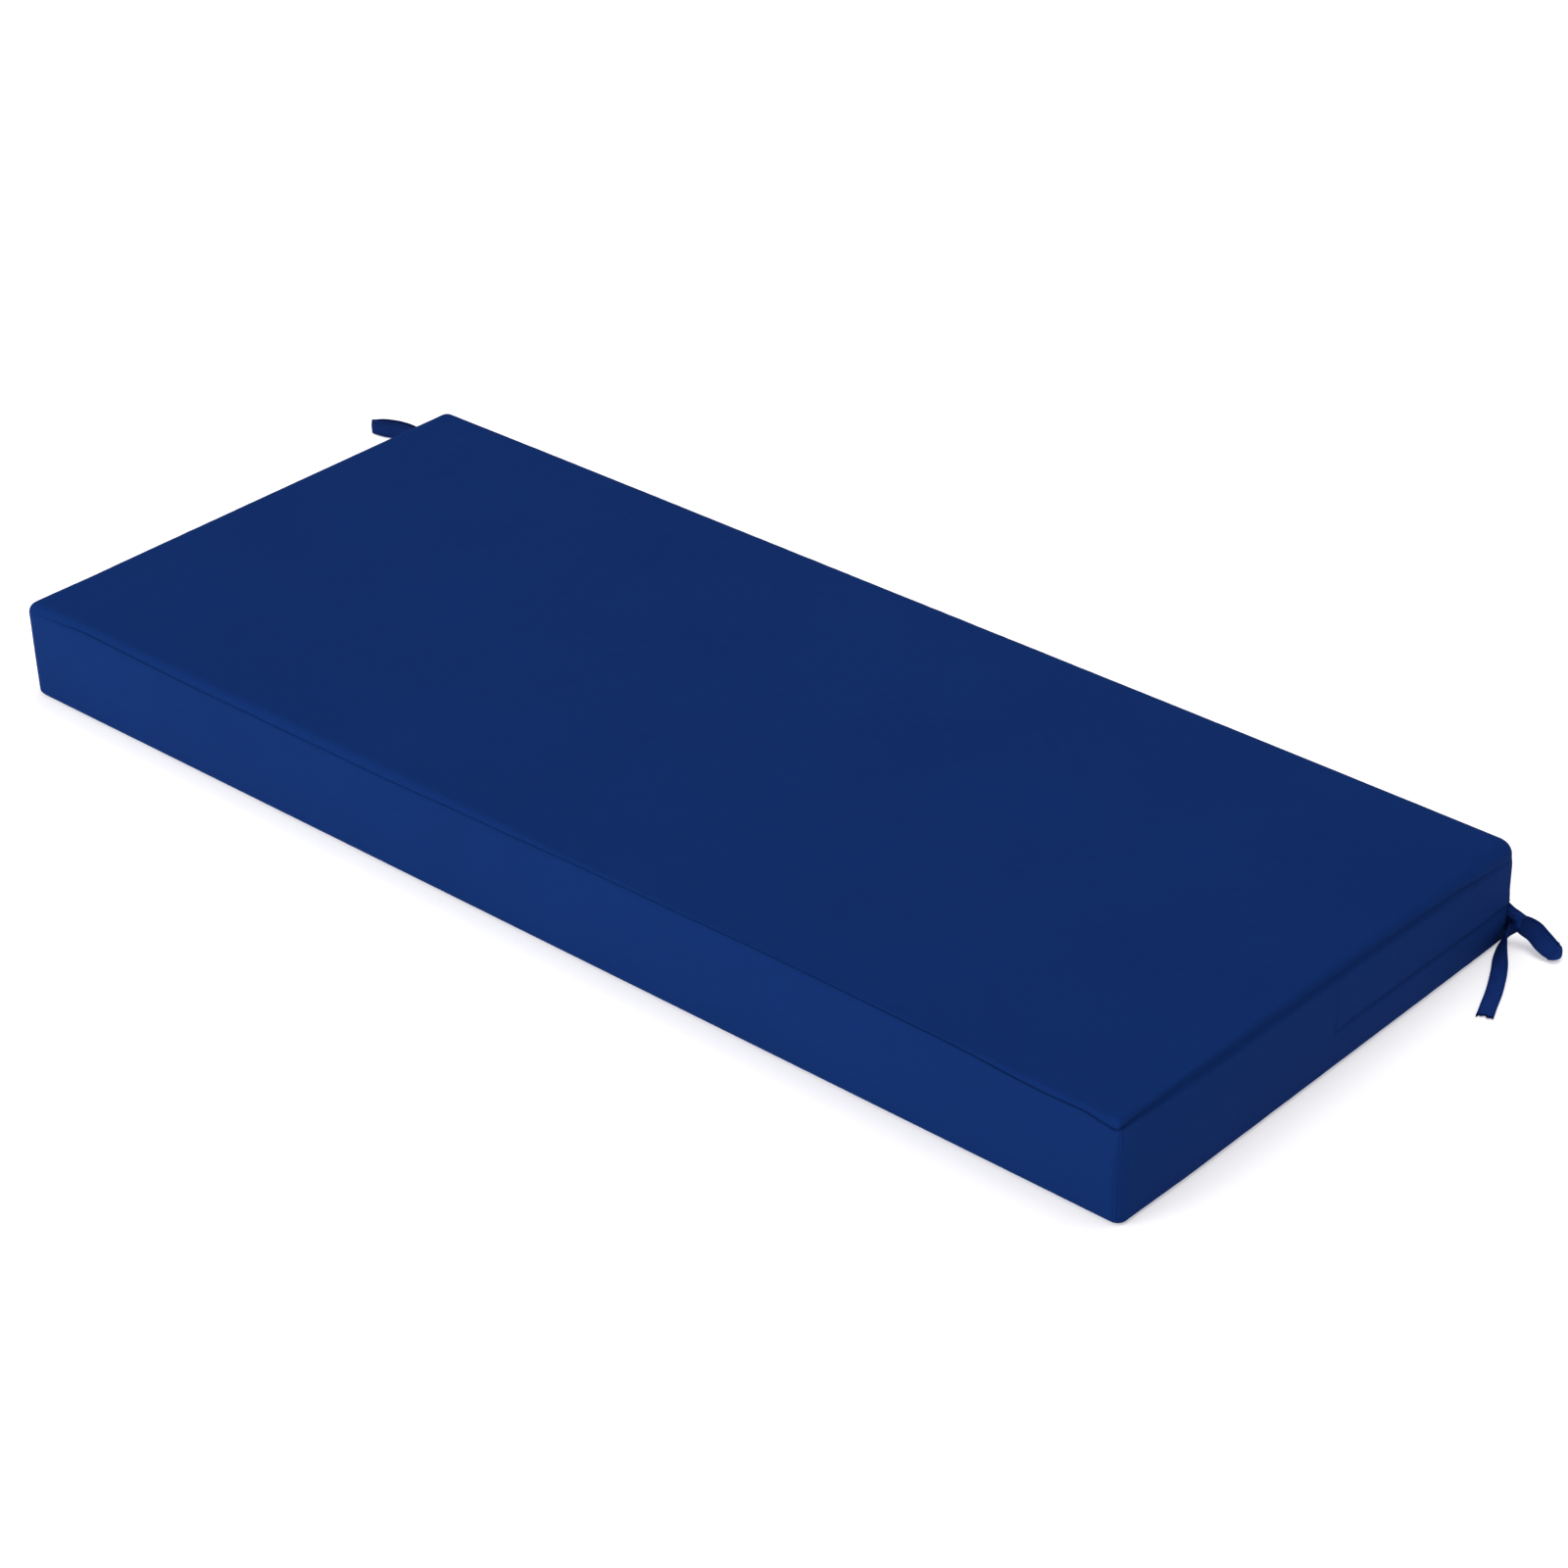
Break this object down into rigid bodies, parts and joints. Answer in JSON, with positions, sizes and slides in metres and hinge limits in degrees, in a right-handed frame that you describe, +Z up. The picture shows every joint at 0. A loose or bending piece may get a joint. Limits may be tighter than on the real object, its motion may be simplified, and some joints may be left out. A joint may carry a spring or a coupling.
{
  "type": "bench cushion",
  "caption": "Long boxed-edge bench cushion in plain cloth with a closing flap round the back and a tape tie at each back corner.",
  "frame": {"origin": "middle of the cushion's flat underside", "axes": "+X along the seat towards its right end, +Y from the front edge to the back edge with the ties, +Z up"},
  "size_m": [1.255, 0.5149, 0.084],
  "materials": {
    "cover": "matt navy cloth",
    "tie_tape": "matt navy tape"
  },
  "bodies": {
    "root": {"cushion_body": "cover", "tie_right_root": "tie_tape", "tie_right_knot": "tie_tape", "tie_right_loop": "tie_tape", "tie_right_tail": "tie_tape", "tie_left_root": "tie_tape", "tie_left_knot": "tie_tape", "tie_left_loop": "tie_tape", "tie_left_tail": "tie_tape"}
  },
  "joints": []
}
